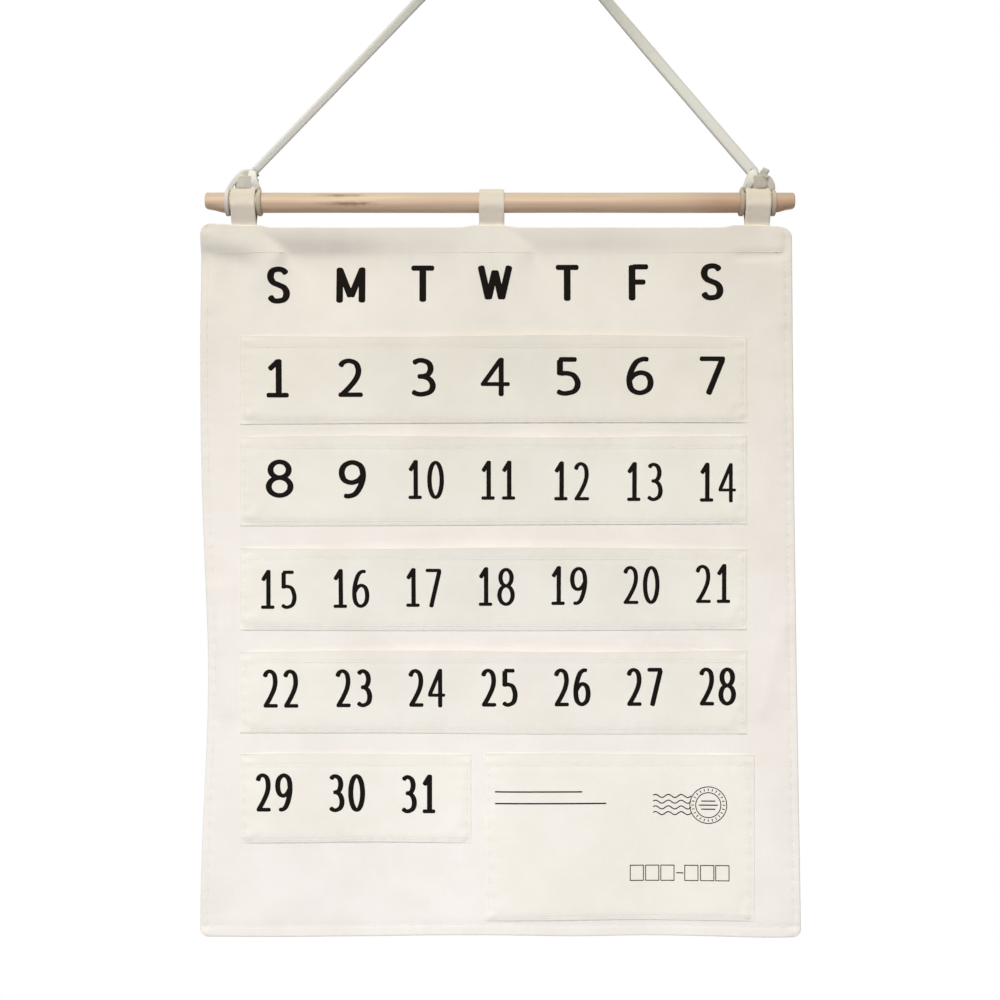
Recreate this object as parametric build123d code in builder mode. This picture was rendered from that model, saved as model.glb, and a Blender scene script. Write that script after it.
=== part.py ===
# A calendar pocket chart: a hemmed cloth panel with sewn pockets, three cloth tabs, a dowel and a tape.
# Millimetres. The origin is where the tape rests on its nail. The chart faces -Y and +Z is up.
import os
from math import cos, radians

from build123d import *

# Hanging: places are measured from the middle of the dowel, across (u) and up (w)
hang_height = 177.0
hang_offset = 10.5
nail_radius = 2.5

# Dowel
dowel_diameter = 12.0
dowel_length = 348.0
dowel_edge = 0.9

# Cloth tabs folded over the dowel, their two legs caught in the top hem
tab_cloth = 0.9
tab_width = 15.0
tab_ease = 0.2
tab_leg = 13.0
leg_parting = 0.05
tab_places = (-151.6, -4.9, 152.2)

# Panel: one sheet with its edges folded to the back
cloth = 0.8
panel_drop = 13.7
left_margin = 24.0
right_margin = 26.6
left_bow = 4.0
left_flare = 0.6
right_flare = 5.4
panel_corner = 5.0
top_hem = 16.6
side_hem = 5.0
bottom_hem = 8.0
slot_ease = 0.1

# Pockets, from the panel's top edge down
heading_height = 65.6
row_heights = (51.6, 52.2, 48.6, 48.9, 53.0)
row_gaps = (7.7, 13.4, 12.2, 12.1)
foot_height = 55.6
row_left = -153.5
row_width = 299.5
pocket_space = 8.0
letter_left = -9.0
letter_width = 159.4
letter_foot = 9.6
seam = 5.0
mouth_hem = 8.0
gape = 7.5

# Tape: one length, tied at both ends round the dowel on both sides of a tab
tape_width = 7.0
tape_thickness = 2.2
left_knot = (-149.5, 14.4)
right_knot = (152.9, 14.4)
neck_length = 6.5
knot_width = 10.6
knot_depth = 8.0
knot_fold = 3.2
knot_corner = 2.4
knot_taper = 25
hitch_width = 3.0
hitch_thickness = 1.7
hitch_ease = 0.2
hitch_gap = 0.4
stub_place = (158.3, 20.0)
stub_width = 3.6

# Derived places
dowel_radius = dowel_diameter / 2
panel_front = tab_cloth + slot_ease + cloth
row_right = row_left + row_width
panel_left = row_left - left_margin
panel_right = row_right + right_margin
panel_top = -panel_drop
row_mouths = []
mouth = panel_top - heading_height
for height, gap in zip(row_heights, (*row_gaps, 0)):
    row_mouths.append(mouth)
    mouth -= height + gap
panel_bottom = mouth - foot_height
tab_bore = dowel_radius + tab_ease
hitch_bore = dowel_radius + hitch_ease
hitch_outer = hitch_bore + hitch_thickness
os.makedirs("parts", exist_ok=True)


# Planes: facing the viewer at depth y, looking along the dowel at u, and level at height w
def facing(y):
    return Plane(origin=(-hang_offset, y, -hang_height), x_dir=(1, 0, 0), z_dir=(0, -1, 0))


def across(u):
    return Plane(origin=(u - hang_offset, 0, -hang_height), x_dir=(0, 1, 0), z_dir=(1, 0, 0))


def level(w):
    return Plane(origin=(-hang_offset, 0, w - hang_height), x_dir=(1, 0, 0), z_dir=(0, 0, 1))


def chart_point(u, y, w):
    return Vector(u - hang_offset, y, w - hang_height)


def save(part, name):
    part.label = name
    export_step(part, f"parts/{name}.step")


# Dowel with eased ends
with BuildPart() as dowel:
    with BuildSketch(across(0)):
        Circle(dowel_radius)
    extrude(amount=dowel_length / 2, both=True)
    chamfer(dowel.edges().filter_by(GeomType.CIRCLE), dowel_edge)
save(dowel.part, "dowel")


# Panel: front sheet, folded side and bottom hems behind it, and a thick top hem slotted for the tab legs.
# The left side bows inwards and the foot flares a little.
with BuildPart() as panel:
    with BuildSketch(facing(cloth - panel_front)) as sheet:
        with BuildLine():
            Line((panel_left, panel_top), (panel_right, panel_top))
            Line((panel_right, panel_top), (panel_right + right_flare, panel_bottom))
            Line((panel_right + right_flare, panel_bottom), (panel_left - left_flare, panel_bottom))
            ThreePointArc(
                (panel_left - left_flare, panel_bottom),
                (panel_left + left_bow, (panel_top + panel_bottom) / 2),
                (panel_left, panel_top),
            )
        make_face()
        fillet(sheet.vertices(), panel_corner)
    extrude(amount=cloth)
    with BuildSketch(facing(cloth - panel_front)):
        add(sheet.sketch_local)
        offset(amount=-side_hem, mode=Mode.SUBTRACT)
        with Locations(((row_left + row_right) / 2, panel_bottom + bottom_hem / 2)):
            Rectangle(row_width, bottom_hem)
    extrude(amount=-cloth)
    with BuildSketch(facing(cloth - panel_front)):
        add(sheet.sketch_local)
        with Locations(((row_left + row_right) / 2, panel_top - top_hem / 2)):
            Rectangle(2 * row_width, top_hem, mode=Mode.INTERSECT)
    extrude(amount=-(2 * panel_front - cloth))
    with BuildSketch(level(panel_top)):
        with Locations(*[(u, 0) for u in tab_places]):
            Rectangle(tab_width + 2 * slot_ease, 2 * (tab_cloth + slot_ease))
    extrude(amount=-(tab_leg + slot_ease), mode=Mode.SUBTRACT)
save(panel.part, "backing_cloth")


# Drop shape round the dowel, drawn down to a flat foot at the panel's top edge
def drop_shape(u, radius, foot):
    with BuildSketch(across(u)) as drop:
        with BuildLine():
            CenterArc((0, 0), radius, 0, 360)
            Line((-foot, panel_top), (foot, panel_top))
        make_hull()
    return drop.sketch_local


# Tab: a band of cloth over the dowel whose two legs lie together in the hem
def tab(u, name):
    start = u - tab_width / 2
    with BuildPart() as loop:
        with BuildSketch(across(start)):
            add(drop_shape(start, tab_bore + tab_cloth, tab_cloth))
            add(drop_shape(start, tab_bore, leg_parting), mode=Mode.SUBTRACT)
            with Locations((0, panel_top - tab_leg / 2)):
                Rectangle(2 * tab_cloth, tab_leg)
        extrude(amount=tab_width)
    save(loop.part, name)


for side, place in zip(("left", "middle", "right"), tab_places):
    tab(place, f"tab_{side}")


# One layer of pocket cloth at height w, bellied forward by rise between its two seams
def cloth_section(left, right, w, rise, depth):
    lines = []
    with BuildSketch(level(w)) as section:
        with BuildLine():
            for d in (depth, depth + cloth):
                if rise:
                    lines.append(ThreePointArc((left, -d), ((left + right) / 2, -d - rise), (right, -d)))
                else:
                    lines.append(Line((left, -d), (right, -d)))
            for end in (0, 1):
                Line(lines[0] @ end, lines[1] @ end)
        make_face()
    return section.sketch.face()


# One layer of a pocket's wall: straight at its foot, bellied by the gape at its mouth
def wall_layer(left, right, top, foot, depth):
    return cloth_section(left, right, foot, 0, depth), cloth_section(left, right, top, gape, depth)


# Pocket: a sewn border of two layers on three sides, a wall that leans out to its mouth, and a mouth hem
def pocket(left, right, top, bottom, name):
    wall = (left + seam, right - seam, top, bottom + seam)
    with BuildPart() as hem:
        loft(sections=wall_layer(*wall, panel_front))
        split(bisect_by=level(top - mouth_hem), keep=Keep.TOP)
    with BuildPart() as bag:
        with BuildSketch(facing(-panel_front)):
            with Locations(((left + right) / 2, (top + bottom) / 2)):
                Rectangle(right - left, top - bottom)
            with Locations(((left + right) / 2, (top + bottom + seam) / 2)):
                Rectangle(right - left - 2 * seam, top - bottom - seam, mode=Mode.SUBTRACT)
        extrude(amount=2 * cloth)
        loft(sections=wall_layer(*wall, panel_front + cloth))
        add(hem.part)
    save(bag.part, name)


for number, (top, height) in enumerate(zip(row_mouths[:4], row_heights[:4]), start=1):
    pocket(row_left, row_right, top, top - height, f"pocket_row_{number}")
pocket(row_left, letter_left - pocket_space, row_mouths[4], row_mouths[4] - row_heights[4], "pocket_row_5")
pocket(letter_left, letter_left + letter_width, row_mouths[4], panel_bottom + letter_foot, "letter_pocket")

# Tape route: straight from each knot to a small turn over the nail
knots = [chart_point(u, 0, w) for u, w in (left_knot, right_knot)]
bight_radius = nail_radius + tape_thickness / 2
rough_turn = (-knots[0]).get_angle(knots[1])
corner = Vector(0, 0, bight_radius / cos(radians(rough_turn / 2)) - nail_radius)
ends = [knot + (corner - knot).normalized() * neck_length for knot in knots]
with BuildPart() as tape:
    with BuildLine() as route:
        FilletPolyline(ends[0], corner, ends[1], radius=bight_radius)
    with BuildSketch(Plane(origin=ends[0], x_dir=(0, 1, 0), z_dir=corner - ends[0])) as tape_face:
        Rectangle(tape_width, tape_thickness)
    sweep()
save(tape.part, "hanging_tape")
tape_length = sum(edge.length for edge in route.line.edges())
print("tape length", round(tape_length, 2), "radius over the nail", bight_radius)
print("tape volume", round(tape.part.volume, 1), "section times length", round(tape_face.sketch.area * tape_length, 1))


# Knot and hitch: a fold of tape round the strand, and a turn round the dowel on each side of the tab
def knot(centre, strand_end, tab_place, name, stub=None):
    reach = tab_width / 2 + hitch_gap + hitch_width / 2
    strand = strand_end - centre
    with BuildPart() as tied:
        for u in (tab_place - reach, tab_place + reach):
            with BuildSketch(across(u)):
                Circle(hitch_outer)
                Circle(hitch_bore, mode=Mode.SUBTRACT)
            extrude(amount=hitch_width / 2, both=True)
            foot = chart_point(u, 0, hitch_outer)
            with BuildSketch(Plane(origin=foot, x_dir=(0, 1, 0), z_dir=centre - foot)):
                Rectangle(hitch_width, hitch_thickness)
            extrude(amount=(centre - foot).length)
        behind = tab_bore + tab_cloth + hitch_gap + hitch_thickness / 2
        with BuildSketch(across(tab_place)):
            with Locations((behind, 0)):
                Rectangle(hitch_thickness, hitch_width)
        extrude(amount=reach + hitch_width / 2, both=True)
        with BuildSketch(Plane(origin=strand_end, x_dir=(0, 1, 0), z_dir=-strand)):
            Rectangle(tape_width, tape_thickness)
        extrude(amount=strand.length)
        with BuildSketch(Plane(origin=centre, x_dir=(0, 1, 0), z_dir=strand)) as fold:
            Rectangle(knot_depth, knot_width)
            chamfer(fold.vertices(), knot_corner)
        extrude(amount=knot_fold, both=True, taper=knot_taper)
        if stub:
            tip = chart_point(stub[0], 0, stub[1])
            with BuildSketch(Plane(origin=centre, x_dir=(0, 1, 0), z_dir=tip - centre)):
                Rectangle(stub_width, tape_thickness)
            extrude(amount=(tip - centre).length)
    save(tied.part, name)


knot(knots[0], ends[0], tab_places[0], "knot_left")
knot(knots[1], ends[1], tab_places[2], "knot_right", stub_place)
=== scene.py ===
import bpy
import numpy as np
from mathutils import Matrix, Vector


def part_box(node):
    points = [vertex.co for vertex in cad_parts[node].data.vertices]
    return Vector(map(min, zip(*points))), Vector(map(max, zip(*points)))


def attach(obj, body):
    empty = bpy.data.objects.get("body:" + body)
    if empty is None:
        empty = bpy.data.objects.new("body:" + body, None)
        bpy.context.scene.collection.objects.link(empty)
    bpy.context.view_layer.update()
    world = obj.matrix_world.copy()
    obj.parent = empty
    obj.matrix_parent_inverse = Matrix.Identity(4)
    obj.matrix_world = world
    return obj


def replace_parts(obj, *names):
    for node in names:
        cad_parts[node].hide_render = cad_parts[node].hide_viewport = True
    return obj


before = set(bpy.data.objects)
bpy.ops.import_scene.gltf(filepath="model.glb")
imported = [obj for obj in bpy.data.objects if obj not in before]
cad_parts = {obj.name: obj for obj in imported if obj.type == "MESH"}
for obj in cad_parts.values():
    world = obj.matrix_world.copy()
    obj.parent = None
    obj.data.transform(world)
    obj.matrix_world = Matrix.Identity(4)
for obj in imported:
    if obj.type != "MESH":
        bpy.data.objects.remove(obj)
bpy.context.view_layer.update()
mm = 0.001

# Places are in mm from the dowel's middle: u across, f towards the viewer, w up
dowelLow, dowelHigh = (np.array(corner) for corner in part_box("dowel"))
middle = (dowelLow + dowelHigh) / 2
dowelRadius = (dowelHigh[2] - dowelLow[2]) / 2 / mm


def place(u, f, w):
    # chart place in mm to a point of the frame in metres
    u, f, w = np.broadcast_arrays(u, f, w)
    return np.stack([middle[0] + u * mm, middle[1] - f * mm, middle[2] + w * mm], axis=-1)


def nodeBox(name):
    # a node's left, right, bottom, top and front in chart places
    low, high = (np.array(corner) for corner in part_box(name))
    a, b = (low - middle) / mm, (high - middle) / mm
    return {"left": a[0], "right": b[0], "bottom": a[2], "top": b[2], "front": -a[1]}


def ease(x, low, high):
    # 0 below low, 1 above high, and the smooth step 3t^2 - 2t^3 between
    t = np.clip((x - low) / (high - low), 0, 1)
    return t * t * (3 - 2 * t)


def bump(x, width):
    # bell curve exp(-(x / width)^2)
    return np.exp(-((x / width) ** 2))


def lines(length, step, edges):
    # grid lines 0..length: even steps, with extra lines at the given distances from both ends
    even = np.linspace(0, length, int(length / step) + 1)
    inner = even[(even > max(edges) + step / 2) & (even < length - max(edges) - step / 2)]
    return np.concatenate([np.array(edges), inner, length - np.array(edges)[::-1]])


def gridFaces(rows, cols, wrap=False):
    # quads of a grid of points, closed across its columns where wrap is set
    i = np.arange(rows - 1)[:, None]
    j = np.arange(cols if wrap else cols - 1)[None, :]
    k = (j + 1) % cols
    corners = np.broadcast_arrays(i * cols + j, i * cols + k, (i + 1) * cols + k, (i + 1) * cols + j)
    return np.stack(corners, axis=-1).reshape(-1, 4)


def slab(front, back):
    # a closed sheet: a front and a back grid, rows upwards, joined round their rim
    rows, cols = front.shape[:2]
    count = rows * cols
    faces = gridFaces(rows, cols)
    number = np.arange(count).reshape(rows, cols)
    rim = np.concatenate([number[0], number[1:, -1], number[-1, -2::-1], number[-2:0:-1, 0]])
    after = np.roll(rim, -1)
    side = np.stack([rim, rim + count, after + count, after], axis=-1)
    points = np.concatenate([front.reshape(-1, 3), back.reshape(-1, 3)])
    return points, np.concatenate([faces, faces[:, ::-1] + count, side]).tolist()


def linked(name, data):
    made = bpy.data.objects.new(name, data)
    bpy.context.scene.collection.objects.link(made)
    return made


def makePiece(name, points, faces, material, uv=None):
    # a mesh at the origin with its place in its points, riding on the one body
    mesh = bpy.data.meshes.new(name)
    mesh.from_pydata(points.reshape(-1, 3).tolist(), [], faces)
    mesh.polygons.foreach_set("use_smooth", np.ones(len(mesh.polygons), dtype=bool))
    if uv is not None:
        corner = np.empty(len(mesh.loops), dtype=np.int32)
        mesh.loops.foreach_get("vertex_index", corner)
        layer = mesh.uv_layers.new(name="cloth")
        layer.data.foreach_set("uv", uv.reshape(-1, 2)[corner].astype(np.float32).ravel())
    mesh.materials.append(material)
    piece = linked(name, mesh)
    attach(piece, "root")
    return piece


def pointValues(piece, name, values):
    # one number for each point of a piece, which its material reads by name
    layer = piece.data.attributes.new(name, "FLOAT", "POINT")
    layer.data.foreach_set("value", values.astype(np.float32))


def sheetPiece(name, u, w, front, back, material, uv):
    # a sheet between its front and back depths, both faces with the same cloth places in mm
    points, faces = slab(place(u, front, w), place(u, back, w))
    return makePiece(name, points, faces, material, np.concatenate([uv.reshape(-1, 2)] * 2) * mm)


def unit(v):
    return v / np.linalg.norm(v, axis=-1, keepdims=True)


def runAlong(line):
    # length of a line of straight bits up to each of its points
    return np.concatenate([[0], np.cumsum(np.linalg.norm(np.diff(line, axis=0), axis=1))])


def evenly(points, step, closed=False):
    # points spaced evenly along a line of straight bits
    line = np.concatenate([points, points[:1]]) if closed else points
    run = runAlong(line)
    count = max(3, int(round(run[-1] / step)) + 1)
    at = np.linspace(0, run[-1], count)[: -1 if closed else None]
    return np.stack([np.interp(at, run, line[:, k]) for k in range(line.shape[1])], axis=-1)


def curveThrough(points, step):
    # cubic through its points (Catmull-Rom), spaced evenly
    p = np.array(points, dtype=float)
    p = np.concatenate([[2 * p[0] - p[1]], p, [2 * p[-1] - p[-2]]])
    t = np.linspace(0, 1, 12, endpoint=False)[None, :, None]
    a, b, c, d = (p[k : len(p) - 3 + k, None, :] for k in range(4))
    square, cube = 2 * a - 5 * b + 4 * c - d, 3 * b - a - 3 * c + d
    bits = 0.5 * (2 * b + (c - a) * t + square * t**2 + cube * t**3)
    return evenly(np.concatenate([bits.reshape(-1, p.shape[1]), p[-2:-1]]), step)


def bandAlong(path, across, width, thick, cells, power=5.0):
    # flat band: a rounded slot profile (|x|^power rim) carried along a path, both ends closed
    tangent = unit(np.gradient(path, axis=0))
    side = unit(across - (across * tangent).sum(axis=1, keepdims=True) * tangent)
    normal = np.cross(tangent, side)
    x = np.sin(np.linspace(-np.pi / 2, np.pi / 2, cells + 1))
    z = np.maximum(1 - np.abs(x) ** power, 0) ** (1 / 2.2)
    xs, zs = np.concatenate([x, x[-2:0:-1]]), np.concatenate([z, -z[-2:0:-1]])
    width, thick = (np.broadcast_to(v, len(path))[:, None, None] for v in (width, thick))
    rings = path[:, None] + side[:, None] * xs[None, :, None] * width / 2
    rings = rings + normal[:, None] * zs[None, :, None] * thick / 2
    rows, cols = rings.shape[:2]
    faces = gridFaces(rows, cols, wrap=True)[:, ::-1].tolist()
    faces += [list(range(cols)), list(range((rows - 1) * cols, rows * cols))[::-1]]
    uv = np.stack(np.broadcast_arrays(xs[None, :] * width[:, :, 0] / 2, runAlong(path)[:, None]), axis=-1)
    return rings, faces, uv


# Shader maths
class Wire:
    # a socket of a material: sums, differences and products of wires and numbers become Math nodes
    def __init__(self, tree, socket=None):
        self.tree = tree
        self.socket = socket

    def node(self, kind, settings, values, out=0):
        made = self.tree.nodes.new(kind)
        for key, value in settings.items():
            setattr(made, key, value)
        for key, value in values.items():
            if isinstance(value, Wire):
                self.tree.links.new(value.socket, made.inputs[key])
            else:
                made.inputs[key].default_value = value
        return Wire(self.tree, made.outputs[out])

    def math(self, operation, first, second=0.0, clamp=False):
        settings = {"operation": operation, "use_clamp": clamp}
        return self.node("ShaderNodeMath", settings, {0: first, 1: second})

    def __add__(self, other):
        return self.math("ADD", self, other)

    def __sub__(self, other):
        return self.math("SUBTRACT", self, other)

    def __rsub__(self, other):
        return self.math("SUBTRACT", other, self)

    def __mul__(self, other):
        return self.math("MULTIPLY", self, other)

    __radd__ = __add__
    __rmul__ = __mul__

    def sine(self):
        return self.math("SINE", self)

    def size(self):
        return self.math("ABSOLUTE", self)

    def clamped(self):
        return self.math("ADD", self, 0.0, clamp=True)

    def coords(self, kind):
        return self.node("ShaderNodeTexCoord", {}, {}, kind)

    def centred(self):
        # object places from the dowel's middle
        return self.scaled(self.coords("Object"), (1, 1, 1), tuple(-middle))

    def part(self, vector, axis):
        return self.node("ShaderNodeSeparateXYZ", {}, {"Vector": vector}, axis)

    def attribute(self, name):
        return self.node("ShaderNodeAttribute", {"attribute_name": name}, {}, "Fac")

    def noise(self, vector, scale, detail=2.0, rough=0.5):
        values = {"Vector": vector, "Scale": scale, "Detail": detail, "Roughness": rough}
        return self.node("ShaderNodeTexNoise", {}, values)

    def stretched(self, vector, scale, detail=2.0, rough=0.5):
        # noise with a scale of its own on each axis
        return self.noise(self.scaled(vector, scale), 1.0, detail, rough)

    def scaled(self, vector, scale, place=(0, 0, 0)):
        return self.node("ShaderNodeMapping", {}, {"Vector": vector, "Scale": scale, "Location": place})

    def mixed(self, amount, first, second):
        return self.node("ShaderNodeMix", {"data_type": "RGBA"}, {0: amount, 6: first, 7: second}, out=2)

    def ramp(self, value, low, high):
        values = {"Value": value, "From Min": low, "From Max": high}
        return self.node("ShaderNodeMapRange", {"interpolation_type": "SMOOTHSTEP"}, values)


def newMaterial(name, sockets):
    # an empty principled material, its even values set on the shader's own sockets
    material = bpy.data.materials.new(name)
    material.use_nodes = True
    shader = material.node_tree.nodes["Principled BSDF"]
    for key, value in sockets.items():
        shader.inputs[key].default_value = value
    return material, Wire(material.node_tree), shader.inputs


def feed(wire, inputs, colour, rough, height, strength, distance):
    # links colour, roughness and a bumped normal to the shader
    values = {"Height": height, "Strength": strength, "Distance": distance}
    normal = wire.node("ShaderNodeBump", {}, values)
    for key, value in (("Base Color", colour), ("Roughness", rough), ("Normal", normal)):
        wire.tree.links.new(value.socket, inputs[key])


clothSheen = {"Sheen Roughness": 0.5, "Specular IOR Level": 0.2}
linenLook = {
    "thread": 0.00062,
    "light": (0.875, 0.815, 0.735, 1),
    "dark": (0.77, 0.70, 0.61, 1),
    "slub": (0.66, 0.58, 0.48, 1),
    # painted shade colour: the grey mixed over the tabs' tops, along the pocket mouths' rims and over the
    # dowel's top
    "shadeGrey": (0.36, 0.34, 0.30, 1),
    "weaveBump": 0.22,
}


def weave(wire, uv, thread):
    # plain weave: each thread an arch |sin|, over where sin(x) sin(y) is positive and under elsewhere
    wander = wire.noise(uv, 260.0, 1.0) * 2.6
    sx = (wire.part(uv, "X") * (np.pi / thread) + wander).sine()
    sy = (wire.part(uv, "Y") * (np.pi / thread) + wander * 0.7).sine()
    over = (sx * sy * 2.5 + 0.5).clamped()
    return sx.size() * over + sy.size() * (1 - over)


def linen(name, light, dark, topShade=0.0, wearAndShade=0.0):
    # cotton and linen cloth: woven threads, long slubs both ways, faint cloudy tone, and, where their amounts
    # are set, painted shade over the top of the dowel and painted shade along a pocket mouth's rim
    look = linenLook
    material, wire, inputs = newMaterial(name, {"Sheen Weight": 0.12, **clothSheen})
    uv = wire.coords("UV")
    warp = wire.stretched(uv, (1500, 38, 1), 3.0, 0.6)
    weft = wire.stretched(uv, (30, 1350, 1), 3.0, 0.6)
    cloud = wire.noise(uv, 16.0, 3.0, 0.55) * 0.6 + wire.noise(uv, 55.0, 2.0, 0.6) * 0.4
    threads = weave(wire, uv, look["thread"])
    slub = wire.ramp(weft, 0.62, 0.80) * 0.55 + wire.ramp(warp, 0.64, 0.82) * 0.35
    tone = (wire.ramp(cloud, 0.3, 0.7) * 0.42 + warp * 0.22 + weft * 0.26 + threads * 0.2).clamped()
    colour = wire.mixed(slub * 0.4, wire.mixed(tone, dark, light), look["slub"])
    # painted shade: the cloth over the top of the dowel is mixed towards the grey, where the light from above
    # falls strongest
    if topShade:
        above = wire.ramp(wire.part(wire.centred(), "Z"), -0.002, 0.004)
        colour = wire.mixed(above * topShade, colour, look["shadeGrey"])
    # painted shade: the mouth's rim, given by point values, is mixed towards the grey to dull the light that
    # it catches
    if wearAndShade:
        colour = wire.mixed(wire.attribute("wearAndShade") * wearAndShade, colour, look["shadeGrey"])
    height = threads + warp * 0.7 + weft * 0.8 + slub * 0.6
    feed(wire, inputs, colour, 0.97 - threads * 0.12, height, look["weaveBump"], 0.00022)
    return material


woodLook = {
    "pale": (0.83, 0.65, 0.49, 1),
    "brown": (0.62, 0.405, 0.26, 1),
    "heart": (0.50, 0.30, 0.19, 1),
    "heartFrom": 0.118,
    "heartTo": 0.152,
    # painted shade colour for the underside
    "under": (0.33, 0.20, 0.115, 1),
    "streak": (0.30, 0.165, 0.078, 1),
    # each streak's middle in chart places and its reach along the bar, then their reach in depth and height
    "streaks": ((-94.0, 4.8, 3.6, 17.0), (-88.0, 5.75, -1.6, 20.0)),
    "streakDeep": 3.2,
    "streakTall": 1.5,
}


def pine():
    # dowel wood: rings stretched along the bar, fine pores, a browner right end, painted shade that greys and
    # darkens the top, a little painted shade underneath, and ragged brown streaks where a knot was cut
    look = woodLook
    material, wire, inputs = newMaterial("pineDowel", {"Specular IOR Level": 0.35})
    centred = wire.centred()
    bend = wire.stretched(centred, (9, 60, 60))
    rings = (wire.stretched(centred, (5.5, 330, 330), 4.0, 0.62) * 9.0 + bend * 7.0).sine()
    pores = wire.stretched(centred, (160, 5200, 5200), 3.0, 0.7)
    flow = wire.stretched(centred, (2.2, 110, 110), 3.0)
    grain = (rings * 0.26 + flow * 0.9 + pores * 0.35 - 0.28).clamped()
    height = wire.part(centred, "Z")
    # painted shade: a little darker brown towards the underside
    under = 1 - wire.ramp(height + flow * 0.004, -0.0035, 0.0055)
    upper = wire.ramp(height + flow * 0.001, 0.001, 0.0055)
    heart = wire.ramp(wire.part(centred, "X") + flow * 0.03, look["heartFrom"], look["heartTo"])
    colour = wire.mixed(heart * 0.7, wire.mixed(grain, look["pale"], look["brown"]), look["heart"])
    colour = wire.mixed(under * 0.06, colour, look["under"])
    # painted shade: the top of the bar is greyed and darkened against the light from above
    colour = wire.mixed(upper * 0.45, colour, linenLook["shadeGrey"])
    ragged = wire.stretched(centred, (190, 520, 520), 3.0, 0.6)
    streak = 0.0
    deep, tall = look["streakDeep"], look["streakTall"]
    for u, f, w, reach in look["streaks"]:
        scale = (1 / reach / mm, 1 / deep / mm, 1 / tall / mm)
        near = wire.scaled(centred, scale, (-u / reach, f / deep, -w / tall))
        gap = wire.node("ShaderNodeVectorMath", {"operation": "LENGTH"}, {0: near}, "Value")
        streak = streak + (1 - wire.ramp(gap + ragged * 1.3 - 0.3, 0.35, 1.5))
    colour = wire.mixed(streak.clamped() * 0.9, colour, look["streak"])
    feed(wire, inputs, colour, 0.5 + pores * 0.25, rings * 0.4 + pores * 1.6, 0.25, 0.00012)
    return material


tapeLook = {
    "pale": (0.92, 0.90, 0.85, 1),
    "shade": (0.75, 0.72, 0.66, 1),
    # painted shade colour for the tape's edges
    "edge": (0.50, 0.48, 0.44, 1),
    # brown of the painted shade where the tape is tied
    "knotShadeBrown": (0.46, 0.37, 0.255, 1),
    "rib": 0.00085,
    "yarn": 0.0005,
}


def twill():
    # cotton tape: slanting ribs that turn at the middle line, darker edges that are painted shade, and a brown
    # painted shade where it is tied
    look = tapeLook
    material, wire, inputs = newMaterial("twillTape", {"Sheen Weight": 0.15, **clothSheen})
    uv = wire.coords("UV")
    x, y = wire.part(uv, "X"), wire.part(uv, "Y")
    fuzz = wire.noise(uv, 900.0, 3.0, 0.65)
    ribs = ((x.size() * 1.1 + y) * (2 * np.pi / look["rib"]) + fuzz * 1.6).sine()
    cross = (x * (2 * np.pi / look["yarn"])).sine()
    tone = (ribs * 0.06 + cross * 0.03 + fuzz * 0.4 + 0.34).clamped()
    # painted shade: both edges darker, standing for the edge of the tape that turns away from the light
    edge = wire.ramp(x.size(), 0.0018, 0.0035)
    colour = wire.mixed(edge * 0.6, wire.mixed(tone, look["shade"], look["pale"]), look["edge"])
    # painted shade: the knots' point values mix in the brown
    knotShade = (wire.attribute("knotShade") * (0.7 + fuzz * 0.6)).clamped()
    colour = wire.mixed(knotShade, colour, look["knotShadeBrown"])
    feed(wire, inputs, colour, 0.95 - ribs * 0.04, ribs * 0.6 + cross * 0.3 + fuzz * 0.5, 0.08, 0.00006)
    return material


def thread():
    # sewing cotton: a fine twist along each stitch
    material, wire, inputs = newMaterial("sewingThread", {"Sheen Weight": 0.1, "Specular IOR Level": 0.3})
    twist = wire.noise(wire.coords("Object"), 2600.0, 2.0)
    colour = wire.mixed(twist, (0.79, 0.73, 0.645, 1), (0.88, 0.82, 0.735, 1))
    feed(wire, inputs, colour, 0.75 + twist * 0.2, twist, 0.3, 0.0001)
    return material


def ink():
    # screen print: near-black brown that thins a little on the high threads
    material, wire, inputs = newMaterial("printInk", {"Specular IOR Level": 0.1})
    grain = wire.noise(wire.coords("Object"), 1500.0, 3.0, 0.6)
    wearAndShade = wire.ramp(grain, 0.55, 0.85)
    colour = wire.mixed(wearAndShade * 0.25, (0.006, 0.004, 0.003, 1), (0.05, 0.04, 0.03, 1))
    feed(wire, inputs, colour, 0.8 + grain * 0.15, grain, 0.3, 0.0001)
    return material


panelLinen = linen("panelLinen", linenLook["light"], linenLook["dark"])
# the pockets carry painted shade along their mouths' rims
pocketLinen = linen("pocketLinen", (0.875, 0.822, 0.718, 1), (0.775, 0.71, 0.596, 1), wearAndShade=0.3)
# the tabs carry painted shade over the top of the dowel
tabLinen = linen("tabLinen", (0.955, 0.85, 0.72, 1), (0.835, 0.74, 0.61, 1), topShade=0.4)
dowelWood, tapeCotton, sewingThread, printInk = pine(), twill(), thread(), ink()
print("materials made")

# Hanging tape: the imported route's points in metres, the corner raised so that the bend tops out at the nail.
# The angles are smoothed over a window of steps.
tapeSizes = {"width": 0.007, "length": 0.433, "step": 0.0011, "window": 25, "cells": 10}
tapeRoute = [
    (-0.15548, 0.0, -0.15793),
    (-0.02919, 0.0, -0.02738),
    (0.0, 0.0, 0.0092),
    (0.02739, 0.0, -0.02903),
    (0.13816, 0.0, -0.15767),
]
# share of the length and how far the tape's flat side has turned to the viewer there, in degrees
tapeTurn = ((0.0, -66), (0.16, -68), (0.30, -66), (0.39, -50), (0.47, -10), (0.51, 0),
            (0.56, -10), (0.64, -40), (0.74, -64), (0.84, -86), (0.91, -84), (1.0, -80))
# share of the length, width and thickness there: the left strand is gathered
tapeGather = ((0.0, 4.8, 2.5), (0.16, 5.0, 2.5), (0.30, 5.6, 2.4), (0.42, 7.0, 2.1), (1.0, 7.0, 2.1))


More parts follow.
